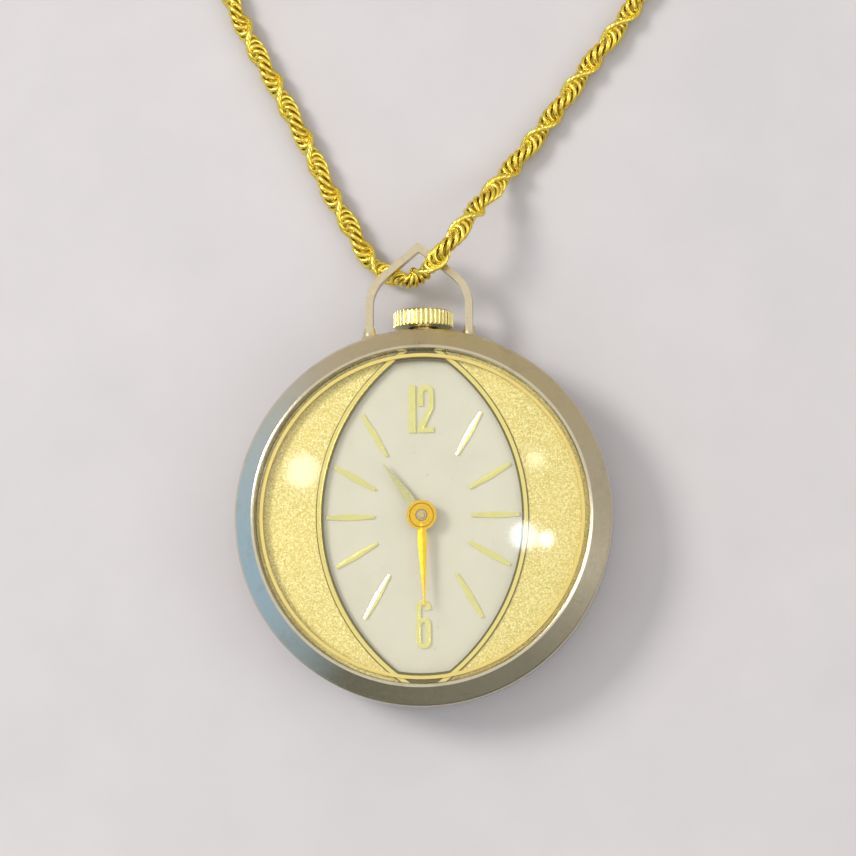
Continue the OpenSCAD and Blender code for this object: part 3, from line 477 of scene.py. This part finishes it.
def wire_rings(line, along, wanted, around, section):
    """Oval wire rings on the line, each turned a little further than the last and leaning.

    wanted holds their places along the line; a ring has around steps of a wire with section sides.
    """
    tangent, across, up = turning_frames(line)

    def at(values):
        return np.column_stack([np.interp(wanted, along, values[:, i]) for i in range(3)])

    centre, t, n, b = at(line), at(tangent), at(across), at(up)
    turned = (math.tau * wanted / ROPE_PITCH)[:, None]
    radial = n * np.cos(turned) + b * np.sin(turned)
    onward = b * np.cos(turned) - n * np.sin(turned)
    jitter = np.random.default_rng(LEAN_SEED).normal(0, LEAN_SPREAD, (len(wanted), 1))
    lean = RING_LEAN + jitter
    length_way = t * np.cos(lean) - onward * np.sin(lean)
    face_way = np.cross(radial, length_way)
    psi = np.linspace(0, math.tau, around, endpoint=False)[None, :, None]
    chi = np.linspace(0, math.tau, section, endpoint=False)[None, None, :, None]
    c, s = np.cos(psi), np.sin(psi)
    radial, length_way, face_way = radial[:, None], length_way[:, None], face_way[:, None]
    middle = centre[:, None] + radial * RING_HALF_WIDTH * c + length_way * RING_HALF_LENGTH * s
    outward = radial * c / RING_HALF_WIDTH + length_way * s / RING_HALF_LENGTH
    outward /= np.linalg.norm(outward, axis=2)[:, :, None]
    points = (middle[:, :, None] + outward[:, :, None] * np.cos(chi) * RING_WIRE
              + face_way[:, :, None] * np.sin(chi) * RING_WIRE)
    rings = len(wanted)
    i, j, k = np.meshgrid(np.arange(rings), np.arange(around), np.arange(section), indexing="ij")

    def index(j, k):
        return (i * around + j % around) * section + k % section

    faces = np.stack([index(j, k), index(j, k + 1), index(j + 1, k + 1), index(j + 1, k)], axis=-1)
    return points.reshape(-1, 3), faces.reshape(-1, 4)


def shade_core_tube(line, along, low, high):
    """Dark tube inside the rings, painted shade for the rope's shadowed inside, which also closes the view
    through the rope.
    """
    tangent, across, up = turning_frames(line)
    inside = (along >= low) & (along <= high)
    centre, n, b = line[inside][::SHADE_CORE_STEP], across[inside][::SHADE_CORE_STEP], up[inside][::SHADE_CORE_STEP]
    chi = np.linspace(0, math.tau, SHADE_CORE_SIDES, endpoint=False)[None, :, None]
    points = centre[:, None] + SHADE_CORE_RADIUS * (n[:, None] * np.cos(chi) + b[:, None] * np.sin(chi))
    rows = len(centre)
    i, j = np.meshgrid(np.arange(rows - 1), np.arange(SHADE_CORE_SIDES), indexing="ij")
    following = (j + 1) % SHADE_CORE_SIDES
    faces = np.stack([i * SHADE_CORE_SIDES + j, i * SHADE_CORE_SIDES + following,
                      (i + 1) * SHADE_CORE_SIDES + following, (i + 1) * SHADE_CORE_SIDES + j], axis=-1)
    ends = [list(range(SHADE_CORE_SIDES))[::-1], [(rows - 1) * SHADE_CORE_SIDES + k for k in range(SHADE_CORE_SIDES)]]
    return points.reshape(-1, 3), faces.reshape(-1, 4), ends


def rope_piece(name, line, along, low, high):
    """The rings and the dark core of painted shade between two lengths along the whole chain, as one mesh.
    """
    first, last = math.ceil(low / RING_SPACING), math.floor(high / RING_SPACING)
    wanted = np.arange(first, last) * RING_SPACING
    shown = np.abs(wanted) < SHOWN_LENGTH
    parts = [wire_rings(line, along, wanted[shown], *SHOWN_SIDES),
             wire_rings(line, along, wanted[~shown], *STORED_SIDES)]
    shade_core_points, shade_core_faces, shade_core_ends = shade_core_tube(line, along, low, high)
    offsets = np.cumsum([0] + [len(points) for points, _ in parts])
    faces = np.vstack([faces + start for (_, faces), start in zip(parts, offsets)]).tolist()
    rings = len(faces)
    shade_core_start = int(offsets[-1])
    faces += (shade_core_faces + shade_core_start).tolist()
    faces += [[k + shade_core_start for k in end] for end in shade_core_ends]
    mesh = bpy.data.meshes.new(name)
    mesh.from_pydata(np.vstack([points for points, _ in parts] + [shade_core_points]).tolist(), [], faces)
    mesh.shade_smooth()
    mesh.materials.append(MATERIALS["chain_gold"])
    # The second material is the painted shade on the core tube
    mesh.materials.append(MATERIALS["chain_core_shade"])
    mesh.polygons.foreach_set("material_index", [int(k >= rings) for k in range(len(faces))])
    piece = bpy.data.objects.new(name, mesh)
    bpy.context.collection.objects.link(piece)
    return piece


left_line = half_line(LEFT_ROUTE, -1, 0.95, LEFT_END)
right_line = half_line(RIGHT_ROUTE, 1, 2.85, RIGHT_END)
whole_line = np.vstack([left_line[:0:-1], right_line])
steps = np.linalg.norm(np.diff(whole_line, axis=0), axis=1)
whole_along = np.concatenate([[0], np.cumsum(steps)])
bail_along = whole_along[len(left_line) - 1]
whole_along = whole_along - bail_along

for name, line, low, high, nodes, on_it in (
    ("rope_chain_left", left_line, whole_along[0], 0, ("chain_left", "chain_coil"),
     ("chain_end_caps", "clasp_ring", "clasp_trigger")),
    ("rope_chain_right", right_line, 0, whole_along[-1], ("chain_right",),
     ("chain_end_caps", "jump_ring")),
):
    piece = rope_piece(name, whole_line, whole_along, low, high)
    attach(piece, ROOT)
    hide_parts(*nodes)


# ---------------------------------------------------------------- floor and light
FLOOR_HALF = 1.5


def add_floor():
    """Plain pale floor under the watch."""
    mesh = bpy.data.meshes.new("floor")
    corners = [(x * FLOOR_HALF, y * FLOOR_HALF, 0) for x, y in ((-1, -1), (1, -1), (1, 1), (-1, 1))]
    mesh.from_pydata(corners, [], [(0, 1, 2, 3)])
    material, tree, shader, place = new_material("pale_floor")
    cloud = noise(tree, place, 12 * MM, 5, 0.6)
    colour = mix_colour(tree, cloud, (0.50, 0.475, 0.495), (0.58, 0.555, 0.57))
    tree.links.new(colour, shader.inputs["Base Color"])
    shader.inputs["Roughness"].default_value = 0.85
    mesh.materials.append(material)
    floor = bpy.data.objects.new("floor", mesh)
    bpy.context.collection.objects.link(floor)
    floor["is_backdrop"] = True


def area_light(name, place, size, power, colour):
    """Round soft light that shines on the frame's origin."""
    data = bpy.data.lights.new(name, "AREA")
    data.shape = "DISK"
    data.size = size
    data.energy = power
    data.color = colour
    lamp = bpy.data.objects.new(name, data)
    lamp.location = place
    lamp.rotation_mode = "QUATERNION"
    lamp.rotation_quaternion = (-Vector(place)).to_track_quat("-Z", "Y")
    bpy.context.collection.objects.link(lamp)


WORLD_RIGHT = (0.57, 0.54, 0.47)
WORLD_FAR = (0.62, 0.54, 0.36)
WORLD_NEAR = (0.16, 0.17, 0.14)
WORLD_LEFT = (0.45, 0.75, 1.15)
WORLD_TOP = (0.98, 0.97, 0.94)
WORLD_STRENGTH = 0.9


def add_world():
    """Soft room light: bright above, tan beyond 12 o'clock, blue at the left, dim below 6 o'clock."""
    world = bpy.data.worlds.new("studio")
    world.use_nodes = True
    tree = world.node_tree
    split = tree.nodes.new("ShaderNodeSeparateXYZ")
    tree.links.new(tree.nodes.new("ShaderNodeTexCoord").outputs["Generated"], split.inputs[0])
    x, y, z = split.outputs
    colour = mix_colour(tree, ramp(tree, y, 0.3, 0.95), WORLD_RIGHT, WORLD_FAR)
    colour = mix_colour(tree, ramp(tree, y, -0.25, -0.8), colour, WORLD_NEAR)
    colour = mix_colour(tree, ramp(tree, x, -0.55, -0.97), colour, WORLD_LEFT)
    colour = mix_colour(tree, ramp(tree, z, 0.2, 0.65), colour, WORLD_TOP)
    tree.links.new(colour, tree.nodes["Background"].inputs["Color"])
    tree.nodes["Background"].inputs["Strength"].default_value = WORLD_STRENGTH
    bpy.context.scene.world = world


# Small lights that the crystal mirrors: direction, size, power and colour of each
GLINTS = (
    ((-0.41, 0.22, 0.89), 0.055, 0.05, (0.88, 0.94, 1.0)),
    ((0.23, 0.24, 0.94), 0.025, 0.01, (1.0, 0.98, 0.94)),
    ((0.20, 0.03, 0.98), 0.045, 0.06, (0.80, 0.90, 1.0)),
    ((0.26, 0.02, 0.97), 0.020, 0.03, (0.95, 0.97, 1.0)),
)
GLINT_DISTANCE = 0.6


add_floor()
add_world()
area_light("key", (-0.41, 0.20, 0.42), 0.22, 2.4, (1.0, 0.97, 0.92))
area_light("fill", (0.5, -0.1, 0.4), 0.4, 0.6, (0.93, 0.96, 1.0))
for number, (towards, size, power, colour) in enumerate(GLINTS):
    area_light(f"glint_{number}", Vector(towards) * GLINT_DISTANCE, size, power, colour)


# ---------------------------------------------------------------- sizes
low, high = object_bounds()
